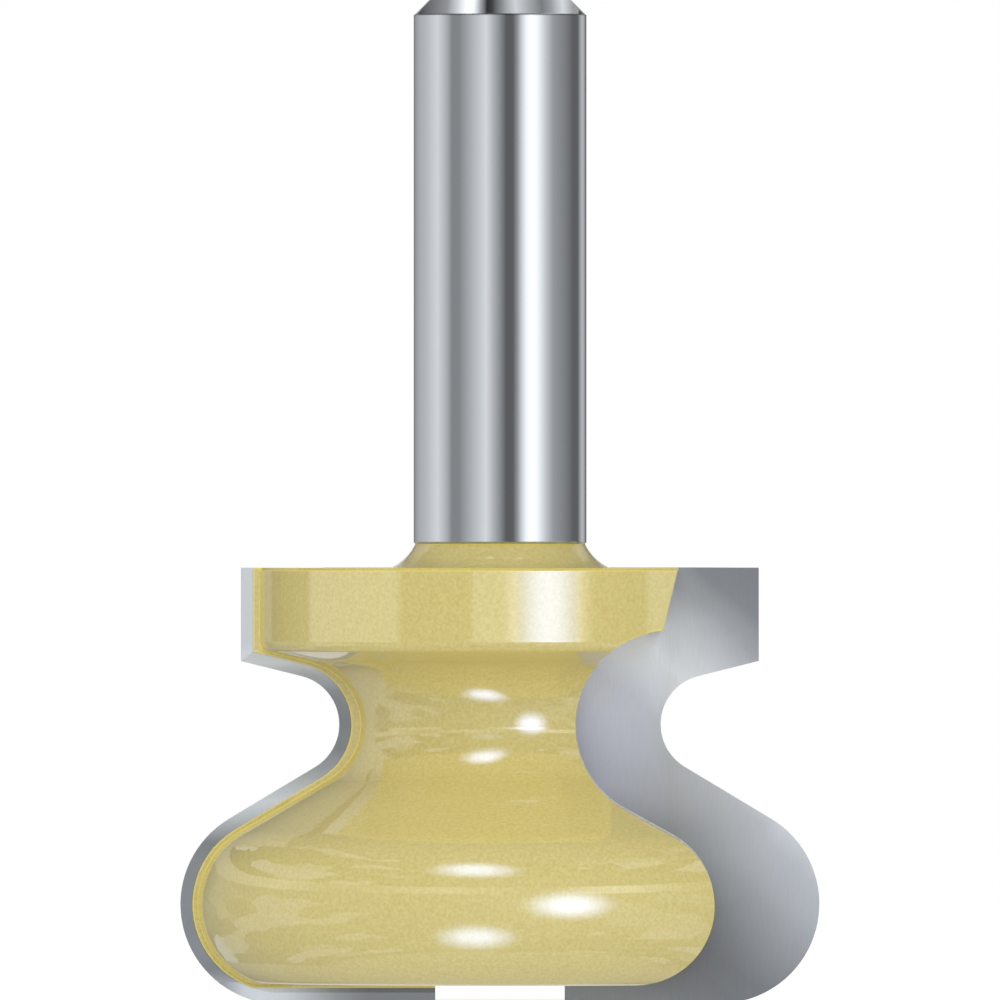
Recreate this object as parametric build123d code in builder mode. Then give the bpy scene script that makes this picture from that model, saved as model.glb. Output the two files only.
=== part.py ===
from build123d import *

import os
from math import cos, radians, sin, tan

# Finger-pull router bit: a turned steel body with its shank, and two brazed carbide tips.
# Sizes are in millimetres. The bit stands on its cutting end: Z runs up the axis to the free
# end of the shank, and Z = 0 is the plane of the two bottom cutting edges. The tip on the +X
# side shows its cutting face to -Y, and the other tip is half a turn away.

# Cutting profile, as the edges sweep it
bulb_diameter = 46.9        # largest cutting diameter
bulb_radius = 7.3           # round nose of the bulb
flank_angle = 31.0          # straight flank above the bulb, from the horizontal
flank_length = 7.4
neck_radius = 3.65          # hollow between bulb and flange
flange_slope = 14.0         # underside of the flange, from the horizontal
flange_diameter = 38.0
flange_thickness = 6.85     # straight side of the flange

# Shank
shank_diameter = 12.7       # half-inch collet
shank_length = 40.0         # ground length above the collar
shank_chamfer = 1.2
shank_edge_chamfer = 0.1    # lower end of the ground length
collar_height = 1.75        # flared collar between head and shank
collar_flare = 1.8          # it spreads this far on the way down
collar_hollow = 3.6         # radius of its slightly hollow side
collar_step = 0.12          # the collar lies this far inside the ground shank

# Turned head inside the cutting profile
head_inset = 1.1            # the tips stand this far proud of the head
head_end_inset = 1.55       # and this far below its bottom face
head_bottom_radius = 2.0    # rounded edge of the bottom face
rim_chamfer = 0.2           # edges of the flange, broken above and rounded below
rim_radius = 0.75

# Carbide tips
tooth_turns = (0, 180)
tip_thickness = 2.0
tip_relief = 23.0           # clearance angle behind the cutting edge
face_setback = 1.0          # cutting face behind the centre line, for the hook angle
tip_inner_radius = 4.75     # the bottom edge stops this far from the axis
tip_bulb_width = 7.8        # cutting face, across the bulb
tip_waist_radius = 7.0      # inner side of the tip, round the neck
tip_flank_angle = 29.0
tip_flank_length = 4.1
tip_corner_angle = 5.0      # the waist's arc stops this far short of its top
tip_lean = 13.5             # inner side of the tip across the flange, from the vertical
braze_gap = 0.05            # solder film along the shoulder

# Seat block behind each tip
seat_block_thickness = 0.3
seat_block_inset = 0.9
seat_block_end_inset = 1.2

# Centre holes that the body was turned and ground between
centre_hole_radius = 1.25
centre_pilot_radius = 0.5
centre_hole_depth = 2.6
centre_hole_angle = 60.0

# Values that follow from the driving sizes
flange_radius = flange_diameter / 2
shank_radius = shank_diameter / 2
collar_top_radius = shank_radius - collar_step
bulb_centre = Vector(bulb_diameter / 2 - bulb_radius, bulb_radius)
flank_normal = Vector(sin(radians(flank_angle)), cos(radians(flank_angle)))
flank_run = Vector(-cos(radians(flank_angle)), sin(radians(flank_angle)))
neck_centre = bulb_centre + flank_normal * (bulb_radius + neck_radius) + flank_run * flank_length
underside_normal = Vector(-sin(radians(flange_slope)), cos(radians(flange_slope)))

tip_nose_radius = bulb_centre.Y - head_end_inset
tip_nose_centre = Vector(bulb_diameter / 2 - tip_bulb_width - tip_nose_radius, bulb_centre.Y)
tip_flank_normal = Vector(sin(radians(tip_flank_angle)), cos(radians(tip_flank_angle)))
tip_flank_run = Vector(-cos(radians(tip_flank_angle)), sin(radians(tip_flank_angle)))
tip_waist_centre = (
    tip_nose_centre
    + tip_flank_normal * (tip_nose_radius + tip_waist_radius)
    + tip_flank_run * tip_flank_length
)


def underside_height(radius, inset):
    """Height of the flange's underside at a radius, on a profile set in by inset."""
    start = neck_centre + underside_normal * (neck_radius + inset)
    return start.Y + (radius - start.X) * tan(radians(flange_slope))


head_height = underside_height(flange_radius, 0) + flange_thickness
shank_base = head_height + collar_height
overall_height = shank_base + shank_length
seat_depth = face_setback + tip_thickness
relief_inset = tip_thickness * tan(radians(tip_relief))
clear_of_head = 2 * bulb_diameter


def profile(inset, inner, bottom):
    """Cutting profile from an inner radius out, set in by inset and cut off at its bottom."""
    side = flange_radius - inset
    with BuildSketch() as outline:
        with BuildLine():
            nose = CenterArc(bulb_centre, bulb_radius - inset, -90, 180 - flank_angle)
            neck = CenterArc(
                neck_centre, neck_radius + inset, 270 - flank_angle, flank_angle + flange_slope - 180
            )
            Line(nose @ 1, neck @ 0)
            Polyline(neck @ 1, (side, underside_height(side, inset)), (side, head_height))
            Polyline((side, head_height), (inner, head_height), (inner, (nose @ 0).Y), nose @ 0)
        make_face()
        with Locations((0, bottom)):
            Rectangle(
                clear_of_head, clear_of_head, align=(Align.MIN, Align.MIN), mode=Mode.INTERSECT
            )
    return outline.sketch


def tip_space(gap):
    """All that lies outside the tip's inner side, moved outwards by a gap."""
    with BuildSketch() as outline:
        with BuildLine():
            nose = CenterArc(tip_nose_centre, tip_nose_radius + gap, -90, 180 - tip_flank_angle)
            waist = CenterArc(
                tip_waist_centre,
                tip_waist_radius - gap,
                270 - tip_flank_angle,
                tip_flank_angle + tip_corner_angle - 180,
            )
            Line(nose @ 1, waist @ 0)
            rise = clear_of_head - (waist @ 1).Y
            Polyline(
                waist @ 1,
                ((waist @ 1).X + rise * tan(radians(tip_lean)), clear_of_head),
                (clear_of_head, clear_of_head),
                (clear_of_head, -clear_of_head),
                (tip_inner_radius, -clear_of_head),
                (tip_inner_radius, (nose @ 0).Y),
                nose @ 0,
            )
        make_face()
    return outline.sketch


def tooth_plane(turn, depth):
    """Plane along a tip's face, depth behind the centre line: X runs outwards and Y upwards."""
    outward = Vector(cos(radians(turn)), sin(radians(turn)))
    behind = Vector(-sin(radians(turn)), cos(radians(turn)))
    return Plane(origin=behind * depth, x_dir=outward, z_dir=-behind)


# Steel body: head, collar and shank are turned as one piece, then cut by the two gullets
with BuildPart() as cutter_body:
    with BuildSketch(Plane.XZ):
        add(profile(head_inset, 0, head_end_inset))
        with BuildLine():
            hollow = RadiusArc(
                (collar_top_radius, shank_base),
                (collar_top_radius + collar_flare, head_height),
                -collar_hollow,
            )
            Polyline(
                hollow @ 1,
                (0, head_height),
                (0, overall_height),
                (shank_radius, overall_height),
                (shank_radius, shank_base),
                hollow @ 0,
            )
        make_face()
        rim = flange_radius - head_inset
        rim_bottom = (rim, underside_height(rim, head_inset))
        fillet(vertices().sort_by_distance(rim_bottom)[0], radius=rim_radius)
        fillet(vertices().group_by(Axis.Y)[0].sort_by(Axis.X)[-1], radius=head_bottom_radius)
        chamfer(vertices().sort_by_distance((rim, head_height))[0], length=rim_chamfer)
        chamfer(vertices().sort_by_distance((shank_radius, shank_base))[0], length=shank_edge_chamfer)
        chamfer(vertices().sort_by_distance((shank_radius, overall_height))[0], length=shank_chamfer)
    revolve(axis=Axis.Z)
    for turn in tooth_turns:
        with BuildSketch(tooth_plane(turn, seat_depth + seat_block_thickness)):
            add(profile(seat_block_inset, tip_inner_radius, seat_block_end_inset))
        extrude(amount=seat_block_thickness)
    for turn in tooth_turns:
        with BuildSketch(tooth_plane(turn, seat_depth)):
            add(tip_space(0))
        extrude(amount=clear_of_head, mode=Mode.SUBTRACT)

    with Locations(Plane.XY.offset(overall_height)):
        CounterSinkHole(
            centre_pilot_radius, centre_hole_radius, centre_hole_depth, centre_hole_angle
        )
    with Locations(Plane(origin=(0, 0, head_end_inset), z_dir=(0, 0, -1))):
        CounterSinkHole(
            centre_pilot_radius, centre_hole_radius, centre_hole_depth, centre_hole_angle
        )

os.makedirs("parts", exist_ok=True)
cutter_body.part.label = "cutter_body"
export_step(cutter_body.part, "parts/cutter_body.step")

# Carbide tips: ground back from the cutting edges, and flat on their seats
for number, turn in enumerate(tooth_turns, start=1):
    with BuildPart() as carbide_tip:
        with BuildSketch(tooth_plane(turn, face_setback)):
            add(profile(0, tip_inner_radius, 0))
        with BuildSketch(tooth_plane(turn, seat_depth)):
            add(profile(relief_inset, tip_inner_radius, 0))
        loft(ruled=True)
        with BuildSketch(tooth_plane(turn, seat_depth)):
            add(tip_space(braze_gap))
        extrude(amount=tip_thickness, mode=Mode.INTERSECT)
    carbide_tip.part.label = f"carbide_tip_{number}"
    export_step(carbide_tip.part, f"parts/carbide_tip_{number}.step")
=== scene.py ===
import math

import bpy
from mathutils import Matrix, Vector


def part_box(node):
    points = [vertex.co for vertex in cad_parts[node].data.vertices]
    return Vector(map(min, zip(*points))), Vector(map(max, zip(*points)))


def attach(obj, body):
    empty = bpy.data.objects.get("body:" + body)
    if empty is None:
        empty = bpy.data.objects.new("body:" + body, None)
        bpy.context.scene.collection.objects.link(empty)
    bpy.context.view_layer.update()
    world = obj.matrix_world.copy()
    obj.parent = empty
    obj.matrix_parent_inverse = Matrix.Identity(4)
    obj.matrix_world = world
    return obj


# The turned, milled and brazed bit as it was built: one steel body and two carbide tips.
# It stands on its two bottom cutting edges, with its axis on Z. Lengths here are in metres.
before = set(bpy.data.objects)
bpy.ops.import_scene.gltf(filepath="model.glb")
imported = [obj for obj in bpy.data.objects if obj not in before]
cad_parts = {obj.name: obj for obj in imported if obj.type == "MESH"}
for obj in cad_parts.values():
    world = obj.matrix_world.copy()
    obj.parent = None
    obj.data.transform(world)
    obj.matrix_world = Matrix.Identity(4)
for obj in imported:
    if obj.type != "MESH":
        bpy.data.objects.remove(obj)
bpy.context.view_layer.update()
bpy.context.scene.view_settings.view_transform = "Standard"
mm = 0.001
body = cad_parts["cutter_body"]
tips = [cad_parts["carbide_tip_1"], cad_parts["carbide_tip_2"]]
bit_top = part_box("cutter_body")[1][2]

# Edge mask that the coating, the ground steel and the carbide share: it is 1 on a sharp edge
# and fades over the radius of the broken corner. It also gives that rounded corner's normal.
# On the coating this mask paints a highlight line, and on the steel a shade line.
flat_cosine = 0.998
corner_cosine = 0.95
edge_group = bpy.data.node_groups.new("broken_edge", "ShaderNodeTree")
edge_group.interface.new_socket("Radius", in_out="INPUT", socket_type="NodeSocketFloat")
edge_group.interface.new_socket("Mask", in_out="OUTPUT", socket_type="NodeSocketFloat")
edge_group.interface.new_socket("Normal", in_out="OUTPUT", socket_type="NodeSocketVector")
inside = edge_group.nodes.new("NodeGroupInput")
outside = edge_group.nodes.new("NodeGroupOutput")
rounded = edge_group.nodes.new("ShaderNodeBevel")
rounded.samples = 8
surface = edge_group.nodes.new("ShaderNodeNewGeometry")
alike = edge_group.nodes.new("ShaderNodeVectorMath")
alike.operation = "DOT_PRODUCT"
turned_off = edge_group.nodes.new("ShaderNodeMapRange")
turned_off.inputs["From Min"].default_value = flat_cosine
turned_off.inputs["From Max"].default_value = corner_cosine
edge_group.links.new(inside.outputs["Radius"], rounded.inputs["Radius"])
edge_group.links.new(rounded.outputs["Normal"], alike.inputs[0])
edge_group.links.new(surface.outputs["Normal"], alike.inputs[1])
edge_group.links.new(alike.outputs["Value"], turned_off.inputs["Value"])
edge_group.links.new(turned_off.outputs["Result"], outside.inputs["Mask"])
edge_group.links.new(rounded.outputs["Normal"], outside.inputs["Normal"])

# Cutter body: one bar of tool steel. The head and collar carry a pale gold non-stick coating
# under a clear gloss, with a fine speckle, and the shank above the collar is ground bright.
# A painted highlight line runs along the coating's edges, and a painted shade line along the steel's.
shank_base = 33.745 * mm
coating_overlap = 0.005 * mm
gold = (0.745, 0.632, 0.232, 1)
gold_dark = (0.635, 0.532, 0.172, 1)
gold_edge_highlight = (0.980, 0.800, 0.060, 1)
steel = (0.870, 0.912, 0.965, 1)
steel_edge_shade = (0.240, 0.265, 0.265, 1)
speckle_size = 0.24 * mm
wheel_mark_pitch = 0.05 * mm
wheel_mark_stretch = (0.02, 0.02, 1)
edge_radius = 0.2 * mm
steel_edge_radius = 0.15 * mm


def grain(tree, coordinates, size, detail):
    """A noise texture whose grains are about the given size."""
    noise = tree.nodes.new("ShaderNodeTexNoise")
    noise.inputs["Scale"].default_value = 1 / size
    noise.inputs["Detail"].default_value = detail
    tree.links.new(coordinates, noise.inputs["Vector"])
    return noise.outputs["Fac"]


def mapped(tree, value, low, high, to_low, to_high):
    """Carries a value from one range to another and holds it there."""
    remap = tree.nodes.new("ShaderNodeMapRange")
    remap.inputs["From Min"].default_value = low
    remap.inputs["From Max"].default_value = high
    remap.inputs["To Min"].default_value = to_low
    remap.inputs["To Max"].default_value = to_high
    tree.links.new(value, remap.inputs["Value"])
    return remap.outputs["Result"]


def spread(tree, value, low, high):
    """Stretches the middle of a noise over a new range."""
    return mapped(tree, value, 0.3, 0.7, low, high)


def feed(tree, side, socket):
    """Gives a socket its input: a number, a colour or another node's socket."""
    if isinstance(side, (int, float, tuple)):
        socket.default_value = side
    else:
        tree.links.new(side, socket)


def worked(tree, operation, first, second=0.5):
    """A math node; each side is a number or a socket."""
    math_node = tree.nodes.new("ShaderNodeMath")
    math_node.operation = operation
    feed(tree, first, math_node.inputs[0])
    feed(tree, second, math_node.inputs[1])
    return math_node.outputs["Value"]


def mixed(tree, factor, first, second, blend="MIX"):
    """A colour mix; the factor is a number or a socket, and each side a colour or a socket."""
    mix = tree.nodes.new("ShaderNodeMix")
    mix.data_type = "RGBA"
    mix.blend_type = blend
    feed(tree, factor, mix.inputs["Factor"])
    feed(tree, first, mix.inputs[6])
    feed(tree, second, mix.inputs[7])
    return mix.outputs[2]


def broken_edge(tree, radius):
    """The shared edge group, set to a radius."""
    edge = tree.nodes.new("ShaderNodeGroup")
    edge.node_tree = edge_group
    edge.inputs["Radius"].default_value = radius
    return edge


body_finish = bpy.data.materials.new("gold_coating_and_ground_steel")
body_finish.use_nodes = True
tree = body_finish.node_tree
shader = tree.nodes["Principled BSDF"]
place = tree.nodes.new("ShaderNodeTexCoord").outputs["Object"]
where = tree.nodes.new("ShaderNodeSeparateXYZ")
tree.links.new(place, where.inputs["Vector"])
ground = worked(tree, "GREATER_THAN", where.outputs["Z"], shank_base - coating_overlap)
coated = mapped(tree, ground, 0, 1, 1, 0)

speckle = grain(tree, place, speckle_size, 3)
coat_colour = mixed(tree, spread(tree, speckle, 0, 1), gold_dark, gold)
# Painted highlight: a brighter yellow line along the coating's sharp edges; the same group gives the
# rounded corner's normal.
coat_round_and_highlight = broken_edge(tree, edge_radius)
coat_colour = mixed(tree, coat_round_and_highlight.outputs["Mask"], coat_colour, gold_edge_highlight)
# Painted shade: a dark line along the steel's sharp edges.
steel_shade_line = broken_edge(tree, steel_edge_radius)
steel_colour = mixed(tree, steel_shade_line.outputs["Mask"], steel, steel_edge_shade)

wheel_marks = tree.nodes.new("ShaderNodeMapping")
wheel_marks.inputs["Scale"].default_value = wheel_mark_stretch
tree.links.new(place, wheel_marks.inputs["Vector"])
marks = grain(tree, wheel_marks.outputs["Vector"], wheel_mark_pitch, 4)
steel_roughness = spread(tree, marks, 0.04, 0.08)
coat_roughness = spread(tree, speckle, 0.38, 0.5)
roughness = tree.nodes.new("ShaderNodeMix")
tree.links.new(ground, roughness.inputs["Factor"])
tree.links.new(coat_roughness, roughness.inputs[2])
tree.links.new(steel_roughness, roughness.inputs[3])

tree.links.new(mixed(tree, ground, coat_colour, steel_colour), shader.inputs["Base Color"])
tree.links.new(ground, shader.inputs["Metallic"])
tree.links.new(roughness.outputs[0], shader.inputs["Roughness"])
tree.links.new(coated, shader.inputs["Coat Weight"])
tree.links.new(coat_round_and_highlight.outputs["Normal"], shader.inputs["Normal"])
shader.inputs["Coat Roughness"].default_value = 0.04
shader.inputs["Coat IOR"].default_value = 2.1
body.data.materials.clear()
body.data.materials.append(body_finish)

# Carbide tips: sintered tungsten carbide, ground on a diamond wheel to a satin grey. Across
# the lap-finished cutting face runs one soft pale painted sheen, a reflection painted into the base
# colour. The relief behind the cutting edge is ground along its contour, and its tone is a painted
# reflection that changes with height. Each sheen is (place in mm, tone).
face_half = 1.03 * mm
foot_height = 1.6 * mm
nose_height = 10 * mm
cloud_size = 6 * mm
cloud_drift = 0.6
relief_drift_share = 0.4
lap_line_pitch = 0.09 * mm
lap_line_slope = math.radians(45)
lap_line_stretch = (1, 1, 0.06)
tip_edge_radius = 0.06 * mm
face_sheen_tint = (0.84, 0.895, 1.0)
relief_sheen_tint = (0.87, 0.925, 0.97)
foot_sheen_tint = (0.86, 0.925, 0.98)
waist_fill_tint = (1.05, 1.1, 1.6, 1)
face_painted_sheen = [
    (9, 0.38), (11.5, 0.36), (13.5, 0.30), (17, 0.25), (20, 0.25), (23, 0.32), (26, 0.43), (29, 0.545),
    (32, 0.635), (34.5, 0.85), (37, 1.0), (40, 0.83), (44, 0.48), (47, 0.31), (50, 0.28),
]
relief_painted_sheen = [
    (0, 0.80), (1.2, 0.62), (2.6, 0.32), (5, 0.35), (8, 0.34), (10, 0.31), (12, 0.31), (13.9, 0.72),
    (14.9, 0.88), (16.9, 0.54), (18.9, 0.33), (20.9, 0.32), (23, 0.40), (24, 0.62), (24.9, 0.96),
    (26.5, 0.84), (32, 0.88),
]
foot_painted_sheen = [(9.8, 0.25), (12.1, 0.39), (15.8, 0.87), (17.6, 0.98), (18.8, 0.90), (20.5, 0.45)]
# Painted fill: (distance from the axis in mm, share) by which the face is made lighter near the waist,
# where the gullet wall shades it.
waist_painted_fill = [(6.5, 1.0), (12.5, 0.0)]
waist_fill_share = 0.66


def ramp(tree, value, low, high, stops, tint=(1, 1, 1)):
    """Tinted tones along a value that runs from low to high."""
    ramp_node = tree.nodes.new("ShaderNodeValToRGB")
    tree.links.new(mapped(tree, value, low, high, 0, 1), ramp_node.inputs["Fac"])
    elements = ramp_node.color_ramp.elements
    while len(elements) > 1:
        elements.remove(elements[-1])
    for number, (stop, tone) in enumerate(stops):
        share = (stop - low) / (high - low)
        element = elements[0] if number == 0 else elements.new(share)
        element.position = share
        element.color = (tone * tint[0], tone * tint[1], tone * tint[2], 1)
    return ramp_node.outputs["Color"]


carbide_finish = bpy.data.materials.new("ground_carbide")
carbide_finish.use_nodes = True
tree = carbide_finish.node_tree
shader = tree.nodes["Principled BSDF"]
place = tree.nodes.new("ShaderNodeTexCoord").outputs["Object"]
where = tree.nodes.new("ShaderNodeSeparateXYZ")
tree.links.new(place, where.inputs["Vector"])
outwards = worked(tree, "MULTIPLY", worked(tree, "ABSOLUTE", where.outputs["X"]), 1 / mm)
upwards = worked(tree, "MULTIPLY", where.outputs["Z"], 1 / mm)
cloud = grain(tree, place, cloud_size, 2)
drift = spread(tree, cloud, -cloud_drift, cloud_drift)
diagonal = worked(tree, "ADD", worked(tree, "ADD", outwards, upwards), drift)
# Painted sheen: a pale painted reflection across the cutting face, along its diagonal.
face_painted_light = ramp(tree, diagonal, 0, 60, face_painted_sheen, face_sheen_tint)
climb = worked(tree, "ADD", upwards, worked(tree, "MULTIPLY", drift, relief_drift_share))
# Painted reflection on the relief: tones by height, and along the foot by distance from the axis.
relief = ramp(tree, climb, 0, 35, relief_painted_sheen, relief_sheen_tint)
inner_foot = worked(tree, "LESS_THAN", upwards, foot_height / mm)
foot_painted_tone = ramp(tree, outwards, 0, 30, foot_painted_sheen, foot_sheen_tint)
relief_and_foot_painted_tone = mixed(tree, inner_foot, relief, foot_painted_tone)
behind_edge = worked(tree, "GREATER_THAN", worked(tree, "ABSOLUTE", where.outputs["Y"]), face_half)
# Painted fill: the face is lightened near the waist above the nose, in a cool tint, against the gullet
# wall's shade.
fill_near_waist = ramp(tree, outwards, 0, 30, waist_painted_fill)
above_nose = worked(tree, "GREATER_THAN", upwards, nose_height / mm)
painted_fill_amount = worked(tree, "MULTIPLY", worked(tree, "MULTIPLY", fill_near_waist, above_nose), waist_fill_share)
painted_fill_colour = mixed(tree, 1, face_painted_light, waist_fill_tint, "MULTIPLY")
face_painted_light = mixed(tree, painted_fill_amount, face_painted_light, painted_fill_colour, "ADD")
tone = mixed(tree, behind_edge, face_painted_light, relief_and_foot_painted_tone)

lap_marks = tree.nodes.new("ShaderNodeMapping")
lap_marks.inputs["Rotation"].default_value = (0, lap_line_slope, 0)
lap_marks.inputs["Scale"].default_value = lap_line_stretch
tree.links.new(place, lap_marks.inputs["Vector"])
lines = grain(tree, lap_marks.outputs["Vector"], lap_line_pitch, 3)
shade = tree.nodes.new("ShaderNodeCombineColor")
for channel in ("Red", "Green", "Blue"):
    tree.links.new(spread(tree, lines, 0.97, 1.03), shade.inputs[channel])
streaked = mixed(tree, 1, tone, shade.outputs["Color"], "MULTIPLY")
tree.links.new(streaked, shader.inputs["Base Color"])
tree.links.new(spread(tree, lines, 0.30, 0.42), shader.inputs["Roughness"])
tree.links.new(broken_edge(tree, tip_edge_radius).outputs["Normal"], shader.inputs["Normal"])
shader.inputs["Metallic"].default_value = 0.15
for tip in tips:
    tip.data.materials.clear()
    tip.data.materials.append(carbide_finish)

# Silver solder: the thin bead that the brazing left along the inner side of each tip, at the foot
# of the gullet wall. It follows the tip's inner contour, and the flux was blasted off it.
bead_radius = 0.08 * mm
face_setback = 1.0 * mm
inner_side = 4.75 * mm
nose_centre = Vector((9.9, 0, 7.3)) * mm
nose_radius = 5.75 * mm
flank_angle = math.radians(29)
flank_length = 4.1 * mm
waist_radius = 7.0 * mm
waist_end = math.radians(95)
corner_radius = 0.1 * mm
lean = math.radians(13.5)
head_top = 31.995 * mm
arc_steps = 36
solder_grain_size = 0.3 * mm
solder_dark = (0.62, 0.63, 0.62, 1)
solder_pale = (0.80, 0.81, 0.82, 1)

solder_finish = bpy.data.materials.new("silver_solder")
solder_finish.use_nodes = True
tree = solder_finish.node_tree
shader = tree.nodes["Principled BSDF"]
place = tree.nodes.new("ShaderNodeTexCoord").outputs["Object"]
dull = grain(tree, place, solder_grain_size, 3)
solder_colour = mixed(tree, spread(tree, dull, 0, 1), solder_dark, solder_pale)
tree.links.new(solder_colour, shader.inputs["Base Color"])
tree.links.new(spread(tree, dull, 0.35, 0.5), shader.inputs["Roughness"])
shader.inputs["Metallic"].default_value = 0.3


def run_on(length, angle):
    """Draws the open end of the bead straight on, at an angle from +X up."""
    step = Vector((math.cos(angle), 0, math.sin(angle))) * length
    bpy.ops.mesh.extrude_region_move(TRANSFORM_OT_translate={"value": step})


def turn_about(centre, angle, steps):
    """Takes the open end of the bead round a centre; a positive angle turns it upwards."""
    bpy.ops.mesh.spin(steps=steps, angle=angle, center=centre + setback, axis=(0, 1, 0))


setback = Vector((0, face_setback, 0))
square_on = Vector((math.sin(flank_angle), 0, math.cos(flank_angle)))
up_the_flank = Vector((-math.cos(flank_angle), 0, math.sin(flank_angle)))
waist_centre = nose_centre + square_on * (nose_radius + waist_radius) + up_the_flank * flank_length
off_the_waist = Vector((math.cos(waist_end), 0, math.sin(waist_end)))
waist_top = waist_centre + off_the_waist * waist_radius
corner_centre = waist_top + off_the_waist * corner_radius
start = Vector((inner_side, face_setback, nose_centre.z - nose_radius))

bpy.ops.object.select_all(action="DESELECT")
bpy.ops.mesh.primitive_circle_add(
    vertices=8, radius=bead_radius, fill_type="NGON", location=start, rotation=(0, math.pi / 2, 0)
)
bead = bpy.context.object
bead.name = "solder_bead_1"
bpy.ops.object.transform_apply(location=True, rotation=True, scale=True)
bpy.ops.object.mode_set(mode="EDIT")
bpy.ops.mesh.select_all(action="SELECT")
run_on(nose_centre.x - inner_side, 0)
turn_about(nose_centre, math.pi - flank_angle, arc_steps)
run_on(flank_length, math.pi - flank_angle)
turn_about(waist_centre, flank_angle + waist_end - 1.5 * math.pi, arc_steps)
turn_about(corner_centre, math.pi - lean - waist_end, 6)
run_on((head_top - bead_radius - waist_top.z) / math.cos(lean), math.pi / 2 - lean)
bpy.ops.mesh.select_all(action="SELECT")
bpy.ops.mesh.remove_doubles(threshold=0.001 * mm)
bpy.ops.mesh.normals_make_consistent(inside=False)
bpy.ops.object.mode_set(mode="OBJECT")
bpy.ops.object.shade_smooth()
bead.data.materials.append(solder_finish)

bpy.ops.object.select_all(action="DESELECT")
bead.select_set(True)
bpy.ops.object.duplicate()
far_bead = bpy.context.object
far_bead.name = "solder_bead_2"
far_bead.rotation_euler = (0, 0, math.pi)
bpy.ops.object.transform_apply(location=True, rotation=True, scale=True)
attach(bead, "root")
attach(far_bead, "root")

# Camera: square on to the first tip's cutting face, level with the middle of the picture and
# far off with a long lens, so that the sides stay parallel as in a catalogue drawing.
picture_height = 73.4 * mm
camera_height = 36.96 * mm
lens = 1200
sensor = 36
camera_distance = picture_height * lens / sensor
bpy.ops.object.camera_add(location=(0, -camera_distance, camera_height), rotation=(math.pi / 2, 0, 0))
camera = bpy.context.object
camera.data.lens = lens
camera.data.sensor_width = sensor
camera.data.clip_end = 20
bpy.context.scene.camera = camera

# Room: an even white surround that the camera and every gloss see as white, on a white floor
# that takes the bit's shadow.
surround_light = 0.84
floor_width = 1.2
floor_grey = (0.5, 0.5, 0.5, 1)
floor_lift = 0.62
world = bpy.data.worlds.new("white_surround")
world.use_nodes = True
bpy.context.scene.world = world
tree = world.node_tree
plain = tree.nodes["Background"]
plain.inputs["Color"].default_value = (1, 1, 1, 1)
plain.inputs["Strength"].default_value = surround_light
seen = tree.nodes.new("ShaderNodeBackground")
seen.inputs["Color"].default_value = (1, 1, 1, 1)
seen.inputs["Strength"].default_value = 1
ray = tree.nodes.new("ShaderNodeLightPath")
camera_or_gloss = worked(tree, "MAXIMUM", ray.outputs["Is Camera Ray"], ray.outputs["Is Glossy Ray"])
direct = worked(tree, "MAXIMUM", camera_or_gloss, ray.outputs["Is Transmission Ray"])
either = tree.nodes.new("ShaderNodeMixShader")
tree.links.new(direct, either.inputs["Fac"])
tree.links.new(plain.outputs["Background"], either.inputs[1])
tree.links.new(seen.outputs["Background"], either.inputs[2])
tree.links.new(either.outputs["Shader"], tree.nodes["World Output"].inputs["Surface"])

bpy.ops.mesh.primitive_plane_add(size=floor_width, location=(0, 0, 0))
floor = bpy.context.object
floor.name = "floor"
floor_finish = bpy.data.materials.new("white_floor")
floor_finish.use_nodes = True
tree = floor_finish.node_tree
shader = tree.nodes["Principled BSDF"]
shader.inputs["Base Color"].default_value = floor_grey
shader.inputs["Roughness"].default_value = 0.9
shader.inputs["Specular IOR Level"].default_value = 0
shader.inputs["Emission Color"].default_value = (1, 1, 1, 1)
ray = tree.nodes.new("ShaderNodeLightPath")
shown_white = worked(tree, "MULTIPLY", ray.outputs["Is Camera Ray"], floor_lift)
tree.links.new(shown_white, shader.inputs["Emission Strength"])
floor.data.materials.append(floor_finish)
floor.visible_glossy = False
floor.visible_diffuse = False

# Reflectors: rings of pale and dark card that the polished faces mirror, a tall one for the shank
# and a low one inside it for the flange. The inner rings are for the head, which stands well
# off the axis, and the slim shank looks through them. Each list is (azimuth in degrees, tone).
shank_ring_radius = 120 * mm
shank_ring_low = -90 * mm
shank_ring_high = 110 * mm
flange_ring_radius = 118 * mm
flange_low = 24 * mm
flange_high = 33 * mm
ring_facets = 128
slim = 6.6 * mm
cool_starts = 1.2
cool_is_full = 2.4
cool = (0.5, 0.63, 1.0)
shank_tones = [
    (-180, 0.8), (-171, 0.8), (-163, 0.14), (-154, 0.30), (-137, 0.42), (-113, 0.53), (-90, 0.72),
    (-74, 0.46), (-66, 0.25), (-55, 0.25), (-34, 0.52), (-18, 0.75), (-8, 0.46), (8, 0.11), (17, 0.12),
    (23, 0.32), (28, 0.66), (34, 1.0), (40, 1.15), (46, 1.15), (51, 1.0), (62, 0.62), (74, 0.34),
    (96, 0.22), (113, 0.12), (125, 0.12), (139, 0.5), (150, 0.42), (158, 0.14), (166, 0.14), (174, 0.8),
]
flange_tones = [
    (-163, 0.34), (-132, 0.34), (-129, 0.03), (-97, 0.03), (-94, 0.66), (-47, 0.64), (-44, 0.03),
    (-13, 0.03), (-11, 0.6), (1, 0.6), (4, 1.15), (9.4, 2.4), (13.3, 3.85), (17.3, 5.1), (21.2, 5.5),
    (25.3, 5.05), (29.3, 3.7), (33.4, 2.3), (36.2, 1.1), (39.9, 0.3), (43.7, 0.03), (67, 0.03),
    (70, 0.6), (92, 0.6), (100, 0.2), (125, 0.12), (139, 0.5), (150, 0.42), (158, 0.14),
]


def only_in_gloss(card):
    """A card that is seen in reflections alone and throws no light or shadow."""
    card.visible_camera = False
    card.visible_diffuse = False
    card.visible_shadow = False
    card.visible_transmission = False


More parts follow.
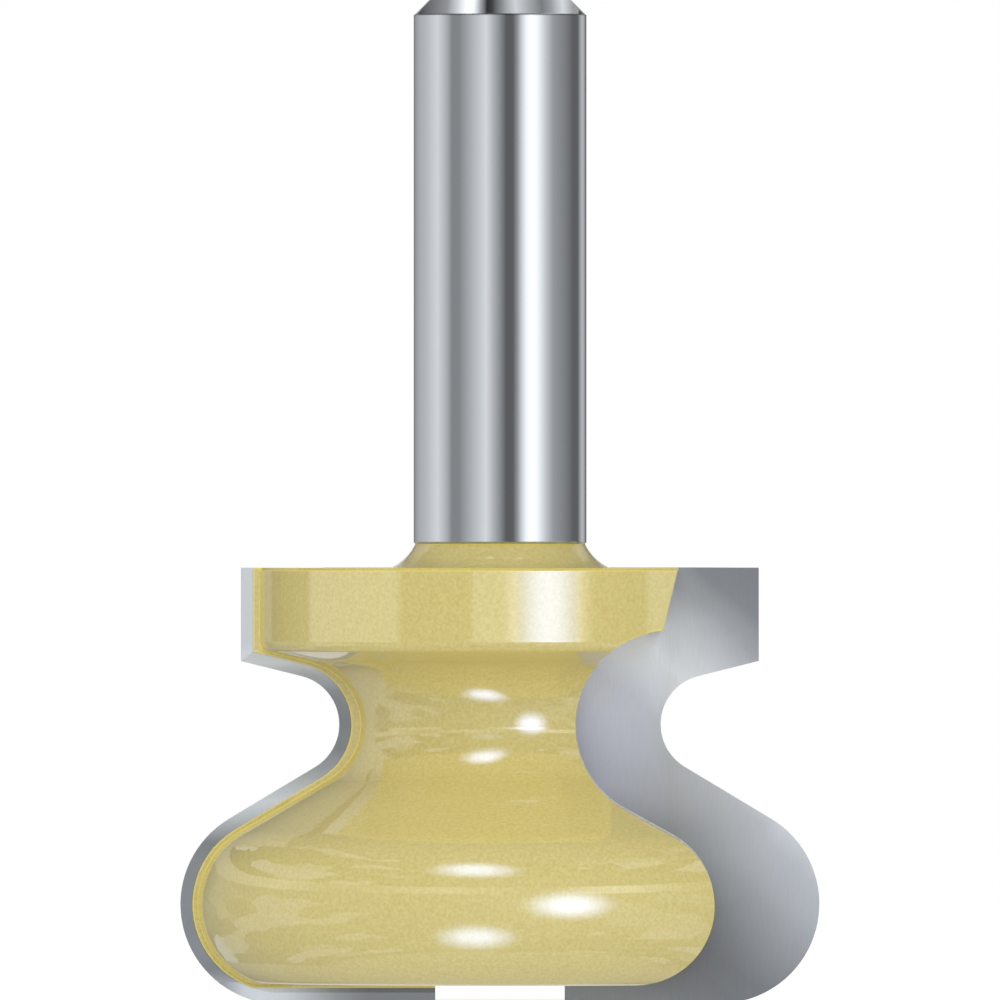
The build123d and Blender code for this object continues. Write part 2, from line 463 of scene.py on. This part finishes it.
def glow_finish(name):
    """An empty emission material with its node tree and output socket."""
    finish = bpy.data.materials.new(name)
    finish.use_nodes = True
    finish.node_tree.nodes.remove(finish.node_tree.nodes["Principled BSDF"])
    return finish, finish.node_tree, finish.node_tree.nodes["Material Output"].inputs["Surface"]


def around_axis(tree):
    """Azimuth on a ring in degrees, 0 towards the camera, and the height above its middle."""
    where = tree.nodes.new("ShaderNodeSeparateXYZ")
    tree.links.new(tree.nodes.new("ShaderNodeTexCoord").outputs["Object"], where.inputs["Vector"])
    forwards = worked(tree, "MULTIPLY", where.outputs["Y"], -1)
    azimuth = worked(tree, "ARCTAN2", where.outputs["X"], forwards)
    return worked(tree, "MULTIPLY", azimuth, 180 / math.pi), where.outputs["Z"]


def for_the_head(tree, glow, radius):
    """Leaves a ring's glow to what stands well off the axis; to the slim shank it is clear."""
    slant = tree.nodes.new("ShaderNodeLayerWeight")
    square_share = worked(tree, "SUBTRACT", 1, slant.outputs["Facing"])
    ray_length = tree.nodes.new("ShaderNodeLightPath").outputs["Ray Length"]
    inwards = worked(tree, "MULTIPLY", ray_length, square_share)
    clear = tree.nodes.new("ShaderNodeBsdfTransparent")
    blend = tree.nodes.new("ShaderNodeMixShader")
    tree.links.new(worked(tree, "LESS_THAN", inwards, radius - slim), blend.inputs["Fac"])
    tree.links.new(clear.outputs["BSDF"], blend.inputs[1])
    tree.links.new(glow, blend.inputs[2])
    return blend.outputs["Shader"]


def card_ring(name, radius, low, high):
    """A bare ring of card round the axis, from one height to another."""
    bpy.ops.object.select_all(action="DESELECT")
    bpy.ops.mesh.primitive_cylinder_add(
        vertices=ring_facets,
        radius=radius,
        depth=high - low,
        end_fill_type="NOTHING",
        location=(0, 0, (low + high) / 2),
    )
    ring = bpy.context.object
    ring.name = name
    return ring


def tone_ring(name, radius, low, high, tones, head_only):
    """A ring of card with tones round it, which turn cool where they are as bright as a lamp."""
    ring = card_ring(name, radius, low, high)
    finish, tree, output = glow_finish(name)
    tone = ramp(tree, around_axis(tree)[0], -180, 180, tones)
    bright = mapped(tree, tone, cool_starts, cool_is_full, 0, 1)
    lamp_cast = mixed(tree, bright, (1, 1, 1, 1), (*cool, 1))
    glow = tree.nodes.new("ShaderNodeEmission")
    tree.links.new(mixed(tree, 1, tone, lamp_cast, "MULTIPLY"), glow.inputs["Color"])
    light = glow.outputs["Emission"]
    if head_only:
        light = for_the_head(tree, light, radius)
    tree.links.new(light, output)
    ring.data.materials.append(finish)
    only_in_gloss(ring)


tone_ring("shank_cards", shank_ring_radius, shank_ring_low, shank_ring_high, shank_tones, False)
tone_ring("flange_cards", flange_ring_radius, flange_low, flange_high, flange_tones, True)

# Window cards: an inner ring above and below the flange's cards, dark with separate pale panes
# that the head mirrors as patches. It has no pane in front, and at the back it is pale all over.
window_radius = 70 * mm
low_windows_bottom = -90 * mm
low_windows_top = 23.5 * mm
high_windows_top = 100 * mm
pane_degrees = 20
pane_height = 13 * mm
pane_wobble = 0.9
wobble_scale = 1.3
shut_share = 0.62
front_degrees = 32
back_degrees = (148, 158)
full_pane = 0.7
pane_tone = 0.66
low_dark_tone = 0.19
high_dark_tone = 0.05
daylight = (0.8, 0.88, 1.0)


def window_ring(name, low, high, dark_tone):
    """A dark ring of card from one height to another, with pale panes of uneven size."""
    ring = card_ring(name, window_radius, low, high)
    finish, tree, output = glow_finish(name)
    degrees, height = around_axis(tree)
    laid_flat = tree.nodes.new("ShaderNodeCombineXYZ")
    tree.links.new(worked(tree, "MULTIPLY", degrees, 1 / pane_degrees), laid_flat.inputs["X"])
    tree.links.new(worked(tree, "MULTIPLY", height, 1 / pane_height), laid_flat.inputs["Y"])
    wobble = tree.nodes.new("ShaderNodeTexNoise")
    wobble.inputs["Scale"].default_value = wobble_scale
    tree.links.new(laid_flat.outputs["Vector"], wobble.inputs["Vector"])
    bent = tree.nodes.new("ShaderNodeVectorMath")
    bent.operation = "MULTIPLY_ADD"
    bent.inputs[1].default_value = (pane_wobble, pane_wobble, 0)
    tree.links.new(wobble.outputs["Color"], bent.inputs[0])
    tree.links.new(laid_flat.outputs["Vector"], bent.inputs[2])
    panes = tree.nodes.new("ShaderNodeTexVoronoi")
    panes.voronoi_dimensions = "2D"
    panes.distance = "CHEBYCHEV"
    panes.inputs["Scale"].default_value = 1
    tree.links.new(bent.outputs["Vector"], panes.inputs["Vector"])
    chance = tree.nodes.new("ShaderNodeSeparateColor")
    tree.links.new(panes.outputs["Color"], chance.inputs["Color"])
    open_pane = worked(tree, "GREATER_THAN", chance.outputs["Red"], shut_share)
    from_front = worked(tree, "ABSOLUTE", degrees)
    beside = worked(tree, "GREATER_THAN", from_front, front_degrees)
    pane = worked(tree, "MULTIPLY", worked(tree, "MULTIPLY", open_pane, beside), chance.outputs["Green"])
    lit = worked(tree, "MAXIMUM", pane, mapped(tree, from_front, *back_degrees, 0, 1))
    glow = tree.nodes.new("ShaderNodeEmission")
    glow.inputs["Color"].default_value = (*daylight, 1)
    tree.links.new(mapped(tree, lit, 0, full_pane, dark_tone, pane_tone), glow.inputs["Strength"])
    tree.links.new(for_the_head(tree, glow.outputs["Emission"], window_radius), output)
    ring.data.materials.append(finish)
    only_in_gloss(ring)


window_ring("low_windows", low_windows_bottom, low_windows_top, low_dark_tone)
window_ring("high_windows", flange_high, high_windows_top, high_dark_tone)

# Tent: a ball of cloth round all the cards, in the tones of the shank's ring. It is dimmer above
# than below, and an even grey towards its poles.
tent_radius = 250 * mm
tent_middle = 30 * mm
tent_grey = (0.5, 0.5, 0.5, 1)
grey_starts = 0.6
grey_is_full = 0.9
dimming_height = 60 * mm
light_below = 0.8
light_above = 0.3
bpy.ops.mesh.primitive_uv_sphere_add(
    segments=64, ring_count=32, radius=tent_radius, location=(0, 0, tent_middle)
)
tent = bpy.context.object
tent.name = "tent"
tent_finish, tree, output = glow_finish("tent")
degrees, height = around_axis(tree)
steepness = worked(tree, "MULTIPLY", worked(tree, "ABSOLUTE", height), 1 / tent_radius)
side_tones = ramp(tree, degrees, -180, 180, shank_tones)
near_pole = mapped(tree, steepness, grey_starts, grey_is_full, 0, 1)
whole = mixed(tree, near_pole, side_tones, tent_grey)
dimmed = mapped(tree, height, -dimming_height, dimming_height, light_below, light_above)
glow = tree.nodes.new("ShaderNodeEmission")
tree.links.new(whole, glow.inputs["Color"])
tree.links.new(dimmed, glow.inputs["Strength"])
tree.links.new(glow.outputs["Emission"], output)
tent.data.materials.append(tent_finish)
only_in_gloss(tent)

# Crown card: it hangs close over the bit and behind it, where the shank's bevel mirrors it. Its
# tones are (share of the way across, tone).
crown_gap = 7 * mm
crown_setback = 13 * mm
crown_width = 26 * mm
crown_depth = 42 * mm
crown_tones = [
    (0.0, 0.10), (0.16, 0.32), (0.22, 0.68), (0.29, 1.2), (0.33, 1.1), (0.375, 0.38), (0.415, 0.03),
    (0.45, 0.06), (0.51, 0.28), (0.60, 0.72), (0.69, 0.42), (0.77, 0.22), (0.83, 0.36), (0.905, 0.76),
    (0.97, 0.36),
]
bpy.ops.mesh.primitive_plane_add(size=1, location=(0, crown_setback, bit_top + crown_gap))
crown = bpy.context.object
crown.name = "crown_card"
crown.scale = (crown_width, crown_depth, 1)
crown_finish, tree, output = glow_finish("crown_card")
where = tree.nodes.new("ShaderNodeSeparateXYZ")
tree.links.new(tree.nodes.new("ShaderNodeTexCoord").outputs["UV"], where.inputs["Vector"])
tone = ramp(tree, where.outputs["X"], 0, 1, crown_tones)
glow = tree.nodes.new("ShaderNodeEmission")
tree.links.new(tone, glow.inputs["Color"])
tree.links.new(glow.outputs["Emission"], output)
crown.data.materials.append(crown_finish)
only_in_gloss(crown)

# Spark lamps: small soft lamps with a grid in front, so that each one shows in one place on the
# head and nowhere else. Three are for the bulb and three for the waist above it.
bulb_form = {"ring": 16.15 * mm, "height": 7.3 * mm, "curve": 6.2 * mm}
waist_form = {"ring": 15.45 * mm, "height": 20.5 * mm, "curve": -4.75 * mm}
grid_half = math.radians(40)
grid_share = 1 - grid_half / math.tan(grid_half)
nearest_share = 0.75
farthest_share = 1.4
lamp_rim = 0.5
lamp_core = 0.08


def spark_lamp(name, form, turn, tilt, distance, width, height, strength):
    """A lamp placed where the form, at a turn about the axis and a tilt, mirrors the camera."""
    turn = math.radians(turn)
    tilt = math.radians(tilt)
    radius = form["ring"] + form["curve"] * math.cos(tilt)
    outward = Vector((math.sin(turn), -math.cos(turn), 0))
    spot = outward * radius + Vector((0, 0, form["height"] + form["curve"] * math.sin(tilt)))
    normal = outward * math.cos(tilt) + Vector((0, 0, math.sin(tilt)))
    to_camera = Vector((0, -1, 0))
    towards = 2 * normal.dot(to_camera) * normal - to_camera
    bpy.ops.object.light_add(type="AREA", location=spot + towards * distance)
    lamp = bpy.context.object
    lamp.name = name
    lamp.rotation_euler = (-towards).to_track_quat("-Z", "Y").to_euler()
    lamp.data.shape = "RECTANGLE"
    lamp.data.size = width
    lamp.data.size_y = height
    lamp.data.spread = 2 * grid_half
    lamp.data.energy = 4 * width * height * grid_share
    lamp.data.use_nodes = True
    tree = lamp.data.node_tree
    centred = tree.nodes.new("ShaderNodeVectorMath")
    centred.operation = "SUBTRACT"
    centred.inputs[1].default_value = (0.5, 0.5, 0)
    tree.links.new(tree.nodes.new("ShaderNodeNewGeometry").outputs["Parametric"], centred.inputs[0])
    reach = tree.nodes.new("ShaderNodeVectorMath")
    reach.operation = "LENGTH"
    tree.links.new(centred.outputs["Vector"], reach.inputs[0])
    fade = tree.nodes.new("ShaderNodeMapRange")
    fade.interpolation_type = "SMOOTHSTEP"
    fade.inputs["From Min"].default_value = lamp_rim
    fade.inputs["From Max"].default_value = lamp_core
    fade.inputs["To Max"].default_value = strength
    tree.links.new(reach.outputs["Value"], fade.inputs["Value"])
    ray = tree.nodes.new("ShaderNodeLightPath")
    near = worked(tree, "LESS_THAN", ray.outputs["Ray Length"], farthest_share * distance)
    not_too_near = worked(tree, "GREATER_THAN", ray.outputs["Ray Length"], nearest_share * distance)
    first_bounce = worked(tree, "LESS_THAN", ray.outputs["Glossy Depth"], 1.5)
    in_reach = worked(tree, "MULTIPLY", near, not_too_near)
    in_reach = worked(tree, "MULTIPLY", in_reach, first_bounce)
    glow = tree.nodes["Emission"]
    glow.inputs["Color"].default_value = (*cool, 1)
    tree.links.new(worked(tree, "MULTIPLY", fade.outputs["Result"], in_reach), glow.inputs["Strength"])
    lamp.visible_camera = False
    lamp.visible_diffuse = False
    lamp.visible_transmission = False


spark_lamp("bulb_upper", bulb_form, -4.8, 26.0, 20 * mm, 22 * mm, 11.5 * mm, 4.1)
spark_lamp("bulb_level", bulb_form, 13.2, 1.3, 20 * mm, 24 * mm, 20 * mm, 5.2)
spark_lamp("bulb_lower", bulb_form, -4.6, -20.6, 20 * mm, 20 * mm, 19 * mm, 4.2)
spark_lamp("waist_upper", waist_form, -5.4, -28.5, 6 * mm, 8.2 * mm, 2.4 * mm, 4.6)
spark_lamp("waist_level", waist_form, 12.2, -1.6, 12 * mm, 10.5 * mm, 9.5 * mm, 5.6)
spark_lamp("waist_lower", waist_form, -5.4, 29.0, 5 * mm, 7.7 * mm, 2.1 * mm, 4.6)

# Key lamp: one wide soft lamp in front of the bit and above it, for the form of the head and the
# shadow on the floor. No gloss mirrors it.
key_place = Vector((0.05, -0.9, 0.3))
key_aim = Vector((0, 0, 0.03))
key_width = 0.5
key_power = 2.4
bpy.ops.object.light_add(type="AREA", location=key_place)
key = bpy.context.object
key.name = "key_lamp"
key.data.shape = "DISK"
key.data.size = key_width
key.data.energy = key_power
key.rotation_euler = (key_aim - key_place).to_track_quat("-Z", "Y").to_euler()
key.visible_glossy = False
